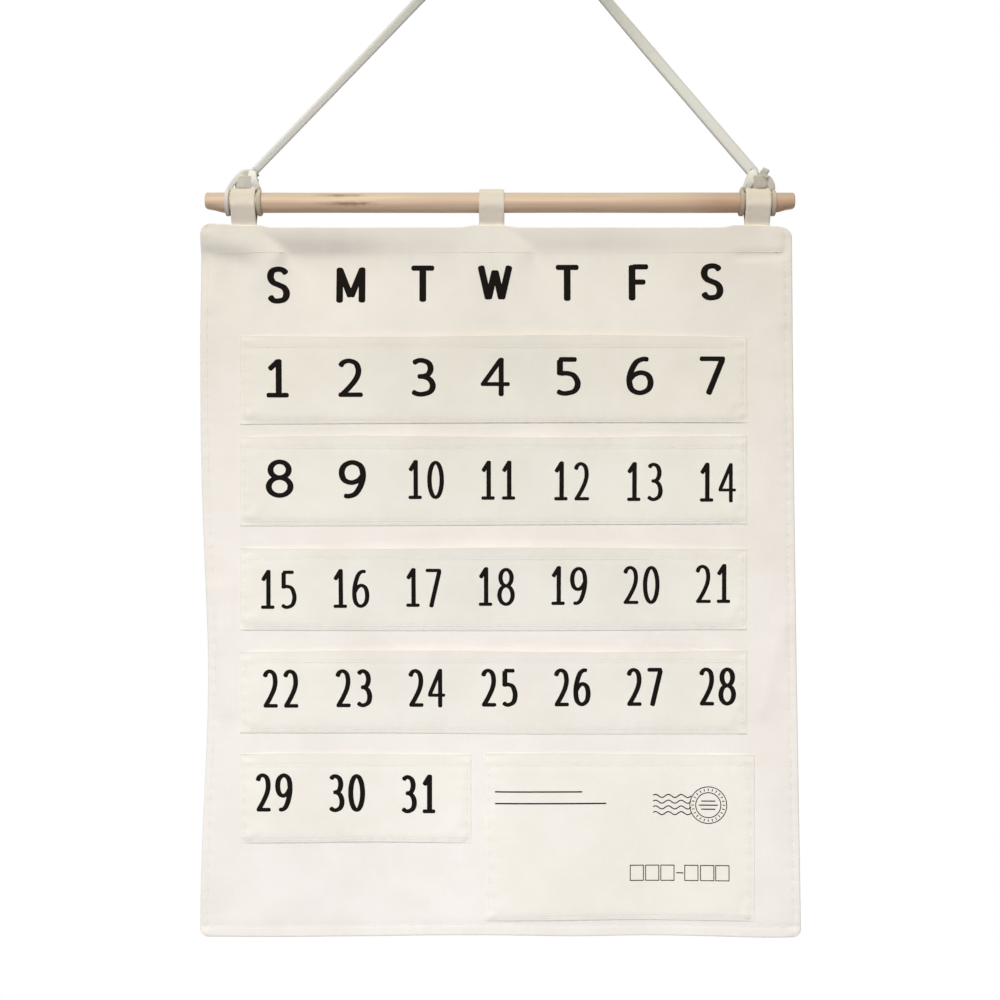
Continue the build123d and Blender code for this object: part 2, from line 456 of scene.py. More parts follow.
def routeLine(points, name):
    # the smooth line of the route: a quadratic NURBS on its points, read back as a mesh
    curve = bpy.data.curves.new(name, "CURVE")
    curve.dimensions = "3D"
    curve.resolution_u = 40
    spline = curve.splines.new("NURBS")
    spline.points.add(len(points) - 1)
    spline.points.foreach_set("co", np.array([(*p, 1.0) for p in points], dtype=np.float32).ravel())
    spline.order_u = 3
    spline.use_endpoint_u = True
    holder = linked(name, curve)
    mesh = bpy.data.meshes.new_from_object(holder)
    read = np.empty(len(mesh.vertices) * 3, dtype=np.float32)
    mesh.vertices.foreach_get("co", read)
    bpy.data.objects.remove(holder)
    bpy.data.meshes.remove(mesh)
    bpy.data.curves.remove(curve)
    return read.reshape(-1, 3).astype(float)


def turned(path, degrees):
    # the tape's width direction: along y, turned about the run by an angle
    tangent = unit(np.gradient(path, axis=0))
    depth = np.array([0.0, 1.0, 0.0])
    flat = np.cross(tangent, depth)
    angle = np.radians(degrees)[:, None]
    return np.cos(angle) * depth + np.sin(angle) * flat


tapePath = evenly(routeLine(tapeRoute, "tapeLine"), tapeSizes["step"])
share = np.linspace(0, 1, len(tapePath))
tapeAngles = np.interp(share, *np.array(tapeTurn).T)
window = np.hanning(tapeSizes["window"])
tapeAngles = np.pad(tapeAngles, len(window) // 2, mode="edge")
tapeAngles = np.convolve(tapeAngles, window / window.sum(), mode="valid")
gatherShare, gatherWide, gatherThick = np.array(tapeGather).T
tapeWide, tapeThick = (np.interp(share, gatherShare, v) * mm for v in (gatherWide, gatherThick))
across = turned(tapePath, tapeAngles)
points, faces, uv = bandAlong(tapePath, across, tapeWide, tapeThick, tapeSizes["cells"])
hangTape = makePiece("hangTape", points, faces, tapeCotton, uv)
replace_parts(hangTape, "hanging_tape")
print("tape laid", len(tapePath))

# Knots: down one leg, round the dowel beside the tab, behind it, round again, up and about itself
knotSizes = {
    "beside": 9.4,
    "ring": 7.05,
    "behind": 8.5,
    "rise": 14.4,
    "wide": 2.5,
    "thick": 1.7,
    "backThick": 1.6,
    # painted shade on the band behind the tab
    "backShade": 0.8,
    "step": 0.35,
}
# each leg's places: across from the knot towards the strand, forward, up, then width, thickness and the amount
# of painted shade
knotLegs = {
    "left": {
        "place": -149.5,
        "strand": (4.8, 2.5),
        "down": ((3.1, 0.8, 17.2, 5.4, 2.4, 0.0), (3.2, 1.7, 14.8, 5.6, 2.2, 0.0),
                 (4.2, 1.9, 12.0, 4.8, 2.2, 0.0), (5.9, 1.3, 8.9, 3.8, 2.0, 0.1)),
        "up": ((-10.6, 1.0, 8.1, 3.0, 1.9, 0.15), (-8.3, 1.6, 11.5, 3.2, 2.0, 0.1),
               (-5.1, 1.8, 14.9, 3.8, 2.0, 0.1)),
        "about": ((-1.8, 0.8, 17.4, 4.6, 2.2, 0.1), (1.4, -1.2, 17.6, 4.8, 2.2, 0.2),
                  (4.4, -2.2, 15.6, 5.2, 2.2, 0.3), (2.0, -3.0, 13.6, 6.0, 2.2, 0.5),
                  (-3.2, -2.6, 12.6, 6.4, 2.2, 0.8)),
        "end": ((-6.2, -0.6, 11.4, 6.8, 2.2, 0.9), (-4.8, 1.6, 11.4, 7.6, 2.2, 0.4),
                (-1.8, 2.4, 11.5, 8.6, 2.4, 0.35), (2.6, 1.0, 11.4, 8.4, 2.4, 0.35)),
        "endWay": (0.1, 0.2, 1),
        # painted shade on the near and the far ring
        "rings": (0.75, 0.35),
    },
    "right": {
        "place": 152.9,
        "strand": (7.0, 2.1),
        "down": ((3.4, 0.8, 17.4, 6.9, 2.2, 0.0), (4.0, 1.6, 15.0, 6.6, 2.2, 0.0),
                 (5.5, 1.9, 12.0, 6.0, 2.2, 0.0), (7.5, 1.4, 8.9, 4.6, 2.0, 0.1)),
        "up": ((-7.9, 1.2, 8.6, 4.4, 1.9, 0.45), (-6.8, 1.6, 11.0, 5.0, 2.0, 0.4),
               (-5.0, 2.1, 13.2, 5.6, 2.0, 0.35)),
        "about": ((-3.0, 2.8, 11.9, 8.4, 2.4, 0.5), (-0.2, 3.0, 11.6, 8.6, 2.6, 0.6),
                  (2.6, 0.9, 11.8, 8.6, 2.4, 0.6), (3.6, -1.8, 12.8, 7.4, 2.4, 0.5),
                  (0.6, -2.8, 14.0, 7.0, 2.2, 0.6), (-2.4, -1.8, 16.0, 5.6, 2.2, 0.5)),
        "end": ((-3.6, -0.6, 18.0, 4.6, 2.0, 0.35), (-4.4, 0.2, 19.2, 4.4, 1.9, 0.3),
                (-5.0, 0.4, 20.2, 4.2, 1.8, 0.3)),
        "endWay": (0.75, 0, 0.65),
        # painted shade on the near and the far ring
        "rings": (0.9, 0.8),
    },
}


def tiedEnd(side, inward, strandEnd, endAngle):
    # across runs towards the strand, so both knots share one set of formulas, and is mirrored at the end
    s, legs = knotSizes, knotLegs[side]
    strand = (np.array(strandEnd) - middle) / mm
    strand = np.array([inward * (strand[0] - legs["place"]), 0.0, strand[2]])
    axis = unit(strand - np.array([0.0, 0.0, s["rise"]]))
    centre = inward * (tabMiddle[side] - legs["place"])
    near, far = centre + s["beside"], centre - s["beside"]
    a = np.radians(endAngle)
    # the tape's width direction on each stretch
    ways = {
        "strand": (axis[2] * np.sin(a), np.cos(a), -axis[0] * np.sin(a)),
        "down": (1, 0.25, 0),
        "turn": (1, 0, 0),
        "back": (0, 0, 1),
        "up": (-0.8, 0.15, 0.6),
        "about": (0.1, 0.2, 1),
        "end": legs["endWay"],
    }

    def turn(x, degrees, knotShade):
        # part of a ring round the dowel, from the front (0) over the top (90)
        a = np.radians(np.array(degrees, dtype=float))
        ring = [np.full(len(a), x), s["ring"] * np.cos(a), s["ring"] * np.sin(a)]
        return np.stack(ring + [np.full(len(a), v) for v in (s["wide"], s["thick"], knotShade)], axis=-1)

    def start(reach):
        return [*(strand + axis * reach), *legs["strand"], 0.0]

    sag = ((6, 0.1, -0.6), (0, 0, 0), (-6, 0.1, -0.6))
    band = (s["wide"], s["backThick"], s["backShade"])
    round_ = [80, 40, 0, -40, -80, -120, -160]
    groups = [
        ("strand", [start(0.8), start(-1.0)]),
        ("down", legs["down"]),
        ("turn", turn(near, round_, legs["rings"][0])),
        ("back", [(centre + x, f - s["behind"], w, *band) for x, f, w in sag]),
        ("turn", turn(far, round_[::-1], legs["rings"][1])),
        ("up", legs["up"]),
        ("about", legs["about"]),
        ("end", legs["end"]),
    ]
    rows = np.concatenate([np.array(spots, dtype=float) for _, spots in groups])
    wayRows = [np.tile(unit(np.array(ways[kind], dtype=float)), (len(spots), 1)) for kind, spots in groups]
    across = np.concatenate(wayRows)
    # the width direction is turned round wherever it would flip from one place to the next
    flips = (across[1:] * across[:-1]).sum(axis=1) < -0.1
    sense = np.cumprod(np.concatenate([[1], np.where(flips, -1, 1)]))
    line = curveThrough(np.concatenate([rows, across * sense[:, None]], axis=1), s["step"])
    route = place(legs["place"] + inward * line[:, 0], line[:, 1], line[:, 2])
    wayAlong = line[:, 6:9] * np.array([inward, -1.0, 1.0])
    wide, thick = line[:, 3] * mm, line[:, 4] * mm
    points, faces, uv = bandAlong(route, wayAlong, wide, thick, tapeSizes["cells"])
    piece = makePiece(f"knot{side.capitalize()}", points, faces, tapeCotton, uv)
    # painted shade along the knot, one amount for each point, read by the tape's material
    pointValues(piece, "knotShade", np.repeat(line[:, 5], points.shape[1]))
    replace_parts(piece, f"knot_{side}")


tabs = {name: nodeBox(f"tab_{name}") for name in ("left", "middle", "right")}
tabMiddle = {name: (box["left"] + box["right"]) / 2 for name, box in tabs.items()}
tiedEnd("left", 1, tapeRoute[0], tapeTurn[0][1])
tiedEnd("right", -1, tapeRoute[-1], tapeTurn[-1][1])
print("knots tied")

# Dowel: a turned profile, nearly round, with eased ends
dowelLook = {
    "edge": 0.9,
    "wander": 0.05,
    "wanderLong": 23.0,
    "shy": 0.03,
    "sides": 72,
    "rings": 120,
    "inset": 6.0,
    "wear": 2.6,
    "wearReach": 12.0,
}


def dowelBar():
    # radius times angle round the bar, for profile points from one end's centre to the other's
    look = dowelLook
    half = (dowelHigh[0] - dowelLow[0]) / 2 / mm
    e = look["edge"]
    corner = np.linspace(0, np.pi / 2, 6)
    end = np.concatenate([[0.05, 2.0, 4.0], dowelRadius - e + e * np.sin(corner)])
    run = np.concatenate([[0.0, 0.0, 0.0], e - e * np.cos(corner)])
    body = np.linspace(look["inset"], 2 * half - look["inset"], look["rings"])
    along = (np.concatenate([run, body, 2 * half - run[::-1]]) - half)[:, None]
    radius = np.concatenate([end, np.full(len(body), dowelRadius), end[::-1]])[:, None]
    angle = np.linspace(0, 2 * np.pi, look["sides"], endpoint=False)[None, :]
    lumps = look["wander"] * np.sin(along / look["wanderLong"] + 2 * angle)
    lumps = lumps * radius / dowelRadius - look["shy"]
    # the ends are worn thinner underneath: a smooth step along the bar times sin^2 of the angle below
    wearAndShade = look["wear"] * (1 - ease(half - np.abs(along), 0, look["wearReach"]))
    wearAndShade = wearAndShade * np.clip(-np.sin(angle), 0, 1) ** 2
    r = (radius + np.where(radius > dowelRadius / 2, lumps, 0)) * (1 - wearAndShade / dowelRadius)
    points = place(along, r * np.cos(angle), r * np.sin(angle))
    rows, cols = points.shape[:2]
    faces = gridFaces(rows, cols, wrap=True).tolist()
    faces += [list(range(cols))[::-1], list(range((rows - 1) * cols, rows * cols))]
    return makePiece("dowelBar", points, faces, dowelWood)


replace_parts(dowelBar(), "dowel")
print("dowel turned")

# Panel: one hanging sheet, hemmed, with the creases that the tabs and seams pull into it
panel = nodeBox("backing_cloth")
panelLook = {
    "cloth": 0.8,
    "least": 0.15,
    "sideHem": 5.0,
    "bottomHem": 8.0,
    "topHem": 16.6,
    # sewn lines: in from the side, up from the foot, up from the top hem's lower edge
    "sideStitch": 4.2,
    "footStitch": 6.6,
    "topStitch": 0.8,
    # corner radius at the top and at the foot
    "corners": (6.5, 5.0),
    "rightTop": 172.6,
    "leftBow": 4.6,
    "dip": 1.3,
    "step": 2.3,
    "edgeLines": (0.0, 0.08, 0.25, 0.5, 0.85, 1.4, 2.4, 3.4, 4.1, 4.7, 5.3, 6.2, 7.2, 8.2),
    # from and to places, half width and height of each crease
    "creases": (
        (141.0, -31.7, 166.0, -31.4, 2.2, -1.05),
        (-166.0, -16.0, -170.0, -60.0, 5.0, 0.7),
        (163.0, -18.0, 168.0, -70.0, 5.0, 0.6),
        (-168.0, -230.0, -160.0, -300.0, 6.0, 0.9),
        (-150.0, -425.0, -90.0, -400.0, 9.0, 0.3),
        (155.0, -300.0, 168.0, -250.0, 5.0, 0.6),
        (-60.0, -405.0, -20.0, -428.0, 8.0, 0.25),
    ),
}


def tabNear(u):
    # 1 at a tab, 0 between the tabs
    return sum(1 - ease(np.abs(u - m), 8.0, 17.0) for m in tabMiddle.values())


def crease(u, w, mark):
    # a ridge along a short line: bell curve of the distance to it
    u0, w0, u1, w1, width, height = mark
    long = np.hypot(u1 - u0, w1 - w0)
    along = np.clip(((u - u0) * (u1 - u0) + (w - w0) * (w1 - w0)) / long**2, 0, 1)
    return height * bump(np.hypot(u - u0 - along * (u1 - u0), w - w0 - along * (w1 - w0)), width)


def trough(x, reach=15.5):
    # a fold's hollow: a parabola above its softened line and a slow recovery below it
    rise = (x + np.sqrt(x * x + 5.0)) / 2
    return np.clip(1 - rise / reach, 0, 1) ** 2 * (1 - ease(-x, 0, 55))


def foldFrom(u, w, start, seam):
    # 1 beyond a slanting fold that starts at the top edge, ends at the sewn line and fades out below it
    below = np.maximum(seam - w, 0)
    return ease(u - start + (np.maximum(w, seam) + 16.5) * 1.1, -1.5 - below, 3.5 + below)


# each hem fold's start across, sewn height and depth, where and how much it weakens, and where it ends
hemFolds = (
    (-143.5, -30.0, 5.3, (-100, -45), 0.75, (-30, -8)),
    (4.7, -28.2, 2.6, (78, 122), 0.8, (122, 142)),
)


def hemRoll(u, w):
    # the top hem tips back to its sewn line, from the slanting folds that the left and middle tabs pull
    deep = 3.9 * ease(-u, 137, 154) * trough(w + 29.6 + 0.15 * (u + 175), 10.5)
    for start, seam, depth, weakens, loss, ends in hemFolds:
        full = foldFrom(u, w, start, seam) * (1 - loss * ease(u, *weakens)) * (1 - ease(u, *ends))
        deep = deep + depth * full * trough(w - seam)
    return deep


def drape(u, w):
    # how far the hung sheet stands forward of flat: slow waves that grow downwards, and its creases
    low = ease(-w, 25, 430)
    waves = 1.0 * np.sin(u / 57 + 0.8) * np.sin(w / 120 + 0.5) + 0.5 * np.sin(u / 29 - w / 70 + 2.0)
    flutter = 1.2 * low**3 * np.sin(u / 26 + 1.2) + 0.25 * np.sin(u / 11.5 + w / 37) * np.sin(w / 23 - u / 61)
    curl = -1.6 * bump(u - panel["left"], 14) * bump(w + 270, 90) - 1.2 * bump(u - panel["right"], 12) * low
    creases = sum(crease(u, w, mark) for mark in panelLook["creases"])
    return waves * (0.25 + 0.75 * low) + flutter + curl - hemRoll(u, w) + creases


def leftEdge(w):
    # bowed inwards below its middle
    return panel["left"] + 0.6 + panelLook["leftBow"] * bump(w + 282, 88)


def rightEdge(w):
    # flares out towards the foot
    fall = (panel["top"] - w) / (panel["top"] - panel["bottom"])
    return panelLook["rightTop"] + (panel["right"] - panelLook["rightTop"]) * np.clip(fall, 0, 1) ** 1.3


def topEdge(u):
    # dips between the tabs, rises at its left end and drops at its right end
    dip = panelLook["dip"] * (1 - tabNear(u)) * ease(tabMiddle["right"] - np.abs(u), 0, 14)
    return panel["top"] + 0.3 - dip + 1.1 * ease(-u, 150, 176) - 1.2 * ease(u, 157, 174)


def bottomEdge(u):
    return panel["bottom"] + 0.4 + 1.2 * bump(u - 5, 45) - 0.3 * np.sin(u / 21)


def puckers(x, pitch, sway, slow, shift, away, reach):
    # small waves along a seam, their spacing swayed by a slower wave, that fade with the distance from it
    return np.sin(x / pitch + sway * np.sin(x / slow + shift)) * bump(away, reach)


def panelFace(u, w):
    # the sheet's front face: drape, with sewn grooves and puckers along its hem lines
    look = panelLook
    side = np.minimum(u - leftEdge(w), rightEdge(w) - u) - look["sideStitch"]
    foot = w - bottomEdge(u) - look["footStitch"]
    hem = w - panel["top"] + look["topHem"]
    grooves = 0.22 * (bump(side, 0.8) + bump(foot, 0.8)) + 0.08 * bump(hem - look["topStitch"], 1.0)
    waves = 0.16 * puckers(w, 1.15, 1.4, 17, 0, side, 3.5)
    waves = waves + 0.16 * puckers(u, 1.2, 1.5, 19, 0, foot, 4.0)
    waves = waves + 0.14 * puckers(u, 1.3, 1.6, 23, 0, hem, 4.5)
    return panel["front"] + drape(u, w) - grooves + waves


def roundedCorners(u, w, left, right, bottom, top, r):
    # the square corner cells pushed onto a quarter disc: x sqrt(1 - y^2 / 2), y sqrt(1 - x^2 / 2)
    a = np.maximum(left + r - u, 0) + np.maximum(u - right + r, 0)
    b = np.maximum(bottom + r - w, 0) + np.maximum(w - top + r, 0)
    x, y = a / r, b / r
    du, dw = a * (1 - np.sqrt(1 - y * y / 2)), b * (1 - np.sqrt(1 - x * x / 2))
    return u + np.where(u < (left + right) / 2, du, -du), w + np.where(w < (bottom + top) / 2, dw, -dw)


def fold(distance, radius):
    # height of a rounded edge: a quarter circle over the last bit before the edge, from a blunt 0.2
    short = 1 - np.minimum(distance, radius) / radius
    return np.maximum(np.sqrt(np.clip(1 - short**2, 0, 1)), 0.2)


def panelCloth():
    # front and back faces on one grid of places between the four edges
    look = panelLook
    wide, tall = panel["right"] - panel["left"], panel["top"] - panel["bottom"]
    s = lines(wide, look["step"], look["edgeLines"])[None, :] / wide
    t = lines(tall, look["step"], look["edgeLines"])[:, None] / tall
    flatU = panel["left"] + s * wide
    w = bottomEdge(flatU) + t * (topEdge(flatU) - bottomEdge(flatU))
    u = leftEdge(w) + s * (rightEdge(w) - leftEdge(w))
    uv = np.stack([u, w], axis=-1)
    side = np.minimum(s, 1 - s) * wide + 0 * w
    foot, head = t * tall + 0 * w, (1 - t) * tall + 0 * w
    face = panelFace(u, w)
    c = look["cloth"]
    sideTurn = 1 - ease(side, look["sideHem"] - 0.2, look["sideHem"] + 0.4)
    footTurn = 1 - ease(foot, look["bottomHem"] - 0.4, look["bottomHem"] + 0.3)
    hem = np.maximum(sideTurn, footTurn) * ease(head, 12.0, 16.0)
    edge = fold(np.minimum(side, foot), c) * np.where(head < c / 2, fold(head, c / 2), 1)
    front = face - c * (1 - edge)
    back = np.minimum(face - c - c * hem * edge, front - look["least"])
    r = np.where(t > 0.5, *look["corners"]) + 0 * w
    u, w = roundedCorners(u, w, leftEdge(w), rightEdge(w), bottomEdge(u), topEdge(u), r)
    return sheetPiece("panelCloth", u, w, front, back, panelLinen, uv)


facingLook = {
    "left": panel["left"] + 2.5,
    "right": panelLook["rightTop"] - 1.9,
    "tall": panelLook["topHem"] + 1.0,
    "air": 0.06,
    "behindTab": -1.02,
    "steps": (2.3, 1.2),
    "edgeLines": (0.0, 0.1, 0.3, 0.6, 1.0),
    "footCorner": 1.0,
}


def topFacing():
    # the top hem's back layer: away from the front layer at the tabs, against it between them
    look = facingLook
    left, right, tall = look["left"], look["right"], look["tall"]
    wide = right - left
    s = lines(wide, look["steps"][0], (*look["edgeLines"], 2.0))[None, :]
    t = lines(tall, look["steps"][1], look["edgeLines"])[:, None]
    c = panelLook["cloth"]
    u = left + s + 0 * t
    w = topEdge(u) - tall + t
    uv = np.stack([u, w], axis=-1)
    parted = tabNear(u) * ease(t, 1.8, 4.6)
    inner = panelFace(u, w) - c - look["air"]
    inner = inner + parted * np.minimum(look["behindTab"] - inner, 0)
    rim = np.minimum(np.minimum(s, wide - s), np.minimum(t, tall - t)) + 0 * u
    outer = inner - c * fold(rim, c)
    r = np.where(t > tall / 2, panelLook["corners"][0], look["footCorner"]) + 0 * u
    u, w = roundedCorners(u, w, left, right, topEdge(u) - tall, topEdge(u), r)
    return sheetPiece("topFacing", u, w, inner, outer, panelLinen, uv)


panelPiece = panelCloth()
facingPiece = topFacing()
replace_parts(panelPiece, "backing_cloth")
print("panel hung")

# Tabs: a band of cloth up from the hem, over the dowel and down again
tabLook = {
    "cloth": 0.9,
    "ease": 0.2,
    "leg": 11.0,
    "parting": 0.5,
    "meet": 1.2,
    "lift": {"left": 1.5, "middle": 1.0, "right": 1.5},
    "step": 0.5,
    "cells": 22,
    "square": 16.0,
    "stitch": 1.7,
}


def tabPath(lift):
    # in f and w: back leg, round over the dowel and a little above it, front leg, joined by tangents
    look = tabLook
    r = dowelRadius + look["ease"] + look["cloth"] / 2
    foot = np.array([look["parting"], panel["top"] + look["meet"]])
    angle = np.arctan2(foot[1], foot[0]) + np.arccos(r / np.linalg.norm(foot))
    round_ = np.linspace(np.pi - angle, angle, 40)
    high = lift * np.clip(np.sin(round_), 0, 1) ** 2
    arc = np.stack([r * np.cos(round_), r * np.sin(round_) + high], axis=-1)
    down = np.array([foot, [look["parting"], panel["top"] - look["leg"]]])
    line = evenly(np.concatenate([down[::-1] * [-1, 1], arc, down]), look["step"])
    window = np.hanning(11)[1:-1] / np.hanning(11).sum()
    inner = [np.convolve(line[:, k], window, mode="valid") for k in (0, 1)]
    return np.concatenate([line[:4], np.stack(inner, axis=-1), line[-4:]])


def tab(name):
    look = tabLook
    line = tabPath(look["lift"][name])
    n = len(line)
    path = place(np.full(n, tabMiddle[name]), line[:, 0], line[:, 1])
    wide = tabs[name]["right"] - tabs[name]["left"]
    run = np.arange(n) * look["step"]
    width = wide + 0.25 * np.sin(run / 9 + tabMiddle[name]) - 0.25
    across = np.tile(np.array([1.0, 0.0, 0.0]), (n, 1))
    points, faces, uv = bandAlong(path, across, width * mm, look["cloth"] * mm, look["cells"], look["square"])
    # sewn lines near both edges press the band in, and it puckers between its stitches
    x = np.abs(uv[..., 0] / mm)
    outward = unit(np.gradient(line, axis=0))[:, None, :]
    groove = 0.18 * bump(x - wide / 2 + look["stitch"], 0.7)
    groove = groove + 0.06 * np.sin(run[:, None] / 0.9) * bump(x - 5.5, 2)
    points = points + np.stack([0 * x, outward[..., 1] * groove, outward[..., 0] * groove], axis=-1) * mm
    piece = makePiece(f"tab{name.capitalize()}", points, faces, tabLinen, uv)
    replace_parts(piece, f"tab_{name}")
    wide * mm


for name in tabs:
    tab(name)
print("tabs folded")

# Pockets: a sewn border on three sides, a wall that leans out to its mouth and a folded mouth hem
pocketLook = {
    "fill": (0.6, 0.6, 0.8, 0.6, 0.2, 0.15),
    "cloth": 0.8,
    "least": 0.12,
    "seam": 5.0,
    # sewn lines: in from the rim, down from the mouth
    "stitch": 2.4,
    "mouthStitch": 6.6,
    "border": 1.15,
    "pressed": 0.8,
    "pressedTo": 7.0,
    "mouthHem": 8.0,
    "step": 2.2,
    "edgeLines": (0.0, 0.08, 0.25, 0.5, 0.85, 1.5, 2.2, 2.8, 3.6, 4.6, 5.6, 7.0),
}
pocketNames = [f"pocket_row_{k}" for k in range(1, 6)] + ["letter_pocket"]
pockets = {name: nodeBox(name) for name in pocketNames}


def pocketFace(name, u, w):
    # outer face: a border pressed thin at its rim by a parabola, and a belly (1 - a^2) (0.7 h + 0.3 h^2)
    p, look = pockets[name], pocketLook
    inside = (p["right"] - p["left"]) / 2 - look["seam"]
    a = (u - (p["left"] + p["right"]) / 2) / inside
    foot = p["bottom"] + look["seam"]
    h = np.clip((w - foot) / (p["top"] - foot), 0, 1)
    gape = p["front"] - panel["front"] - 2 * look["cloth"]
    phase = p["top"] / 7
    slack = 1 + 0.10 * np.sin(u / 13 + phase) + 0.07 * np.sin(u / 7.1 - phase)
    full = look["fill"][pocketNames.index(name)] * gape * slack
    belly = full * np.clip(1 - a * a, 0, 1) * (0.7 * h + 0.3 * h * h)
    side = np.minimum(u - p["left"], p["right"] - u)
    low, high = w - p["bottom"], p["top"] - w
    rim = np.minimum(side, low)
    grooves = 0.12 * bump(rim - look["stitch"], 0.8)
    grooves = grooves + 0.2 * bump(high - look["mouthStitch"], 0.8) * ease(side, 3, 6)
    waves = 0.15 * puckers(u, 1.25, 1.5, 21, phase, low - 3.5, 4.5)
    waves = waves + 0.15 * puckers(w, 1.2, 1.5, 15, phase, side - 3.5, 4.5)
    waves = waves + 0.12 * puckers(u, 1.5, 1.7, 25, -phase, high - 6.0, 4.0)
    pull = 0.35 * np.sin((u - p["left"]) / 2.6 - low / 3.4) * ease(rim, 2, 8)
    pull = pull * bump(side, 11) * bump(low - 8, 12)
    # distance from the rim, rounded at the corners: a smooth minimum
    near = np.maximum(side + low - np.sqrt((side - low) ** 2 + 9), 0) / 2
    border = look["border"] - look["pressed"] * np.clip(1 - near / look["pressedTo"], 0, 1) ** 2
    return panelFace(u, w) + border + belly - grooves + waves + pull


def pocket(name, pieceName):
    p, look = pockets[name], pocketLook
    c = look["cloth"]
    wide, tall = p["right"] - p["left"], p["top"] - p["bottom"]
    s = lines(wide, look["step"], look["edgeLines"])[None, :]
    t = lines(tall, look["step"], look["edgeLines"])[:, None]
    # the mouth and the foot are a little wavy
    dip = 0.5 * np.sin(s / 37 + p["top"]) * (t / tall)
    dip = dip + 0.6 * np.sin(s / 95 + p["top"] / 60 + 0.4) * (1 - t / tall)
    u, w = p["left"] + s + 0 * t, p["bottom"] + t + dip
    side, low, high = np.minimum(s, wide - s) + 0 * t, t + 0 * s, tall - t + 0 * s
    rim = np.minimum(side, low)
    sewn = 1 - ease(rim, 4.6, 6.2)
    hem = 1 - ease(high, look["mouthHem"] - 0.6, look["mouthHem"] + 0.4)
    base = panelFace(u, w) + 0.04
    front = base + (pocketFace(name, u, w) - base) * fold(rim, 0.3)
    wall = np.maximum(front - c - c * hem, base)
    back = wall + (base - wall) * sewn
    lip = fold(high, 0.2)
    centre = (front + back) / 2
    front, back = centre + (front - centre) * lip, centre + (back - centre) * lip
    back = np.minimum(back, front - look["least"])
    # the cloth's threads start elsewhere than the panel's
    uv = np.stack([u + 7, w + 3], axis=-1)
    piece = sheetPiece(pieceName, u, w, front, back, pocketLinen, uv)
    # painted shade on the mouth's rim: 1 in the top 0.3 mm, fading out by 0.7 mm
    pointValues(piece, "wearAndShade", np.tile((1 - ease(high, 0.3, 0.7)).ravel(), 2))
    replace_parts(piece, name)
    flat = ((wide + 2 * look["seam"]) * mm, (tall + look["seam"] + look["mouthHem"]) * mm)


for k, name in enumerate(pocketNames):
    pocket(name, f"pocketRow{k + 1}" if k < 5 else "letterPocket")
print("pockets sewn")

# Stitches: short threads in the sewn grooves, one small rounded rod each
stitchLook = {
    "pitch": 2.9,
    "length": 2.4,
    "thick": 0.34,
    "sink": 0.1,
    "sides": 6,
    # each ring's place along the stitch and its share of the thickness
    "ringAt": (-0.5, -0.42, 0.0, 0.42, 0.5),
    "ringSize": (0.35, 0.85, 1.0, 0.85, 0.35),
}


def stitches(name, seams, surface):
    # rods along each seam line, lying on the cloth: rings of points scaled to a spindle
    look = stitchLook
    pieces = []
    for a, b in seams:
        a, b = np.array(a, dtype=float), np.array(b, dtype=float)
        long = np.linalg.norm(b - a)
        at = (np.arange(int(long / look["pitch"])) + 0.5) * look["pitch"] / long
        pieces.append((a + at[:, None] * (b - a), np.tile((b - a) / long, (len(at), 1))))
    spot = np.concatenate([p[0] for p in pieces])[:, None, None, :]
    way = np.concatenate([p[1] for p in pieces])[:, None, None, :]
    ringAt = np.array(look["ringAt"])[None, :, None] * look["length"]
    ringSize = np.array(look["ringSize"])[None, :, None] * look["thick"] / 2
    rings, sides = len(look["ringAt"]), look["sides"]
    angle = np.linspace(0, 2 * np.pi, sides, endpoint=False)[None, None, :]
    u = spot[..., 0] + way[..., 0] * ringAt - way[..., 1] * ringSize * np.cos(angle)
    w = spot[..., 1] + way[..., 1] * ringAt + way[..., 0] * ringSize * np.cos(angle)
    bed = surface(spot[..., 0] + way[..., 0] * ringAt, spot[..., 1] + way[..., 1] * ringAt)
    points = place(u, bed + look["thick"] / 2 - look["sink"] + ringSize * np.sin(angle), w)
    start = np.arange(len(points))[:, None, None] * rings * sides
    faces = (gridFaces(rings, sides, wrap=True)[None] + start).reshape(-1, 4).tolist()
    cap = np.arange(sides)[None] + start[:, 0]
    caps = np.concatenate([cap[:, ::-1], cap + (rings - 1) * sides])
    return makePiece(name, points, faces + caps.tolist(), sewingThread)


def panelSeams():
    look = panelLook
    hem = panel["top"] - look["topHem"] + look["topStitch"]
    heights = np.linspace(hem - 4, panel["bottom"] + 8.6, 15)
    places = np.linspace(panel["left"] + 6, look["rightTop"] - 2, 12)
    chains = [
        [(leftEdge(w) + look["sideStitch"], w) for w in heights],
        [(rightEdge(w) - look["sideStitch"], w) for w in heights],
        [(u, bottomEdge(u) + look["footStitch"]) for u in places],
        [(panel["left"] + 6, hem), (look["rightTop"] - 5, hem)],
    ]
    return [pair for chain in chains for pair in zip(chain[:-1], chain[1:])]


panelThread = stitches("panelStitching", panelSeams(), panelFace)
for k, name in enumerate(pocketNames):
    p, inset = pockets[name], pocketLook["stitch"]
    l, r, b, t = p["left"] + inset, p["right"] - inset, p["bottom"] + inset, p["top"]
    mouth = t - pocketLook["mouthStitch"]
    seams = [((l, t - 1), (l, b)), ((l, b), (r, b)), ((r, b), (r, t - 1)), ((l + 4, mouth), (r - 4, mouth))]
    stitches(f"pocketStitching{k + 1}", seams, lambda u, w, name=name: pocketFace(name, u, w))
print("stitches laid")

# Print: flat strokes of ink that follow the cloth
penSizes = {
    "single": 2.76,
    "pair": 2.55,
    "initial": 3.1,
    "rule": 0.8,
    "mark": 0.5,
    "box": 0.5,
    # upright strokes of pens over the bold width are this much wider
    "bold": 1.5,
    "stress": 0.3,
    "film": 0.07,
    "filmStep": 0.012,
    "sink": 0.1,
}


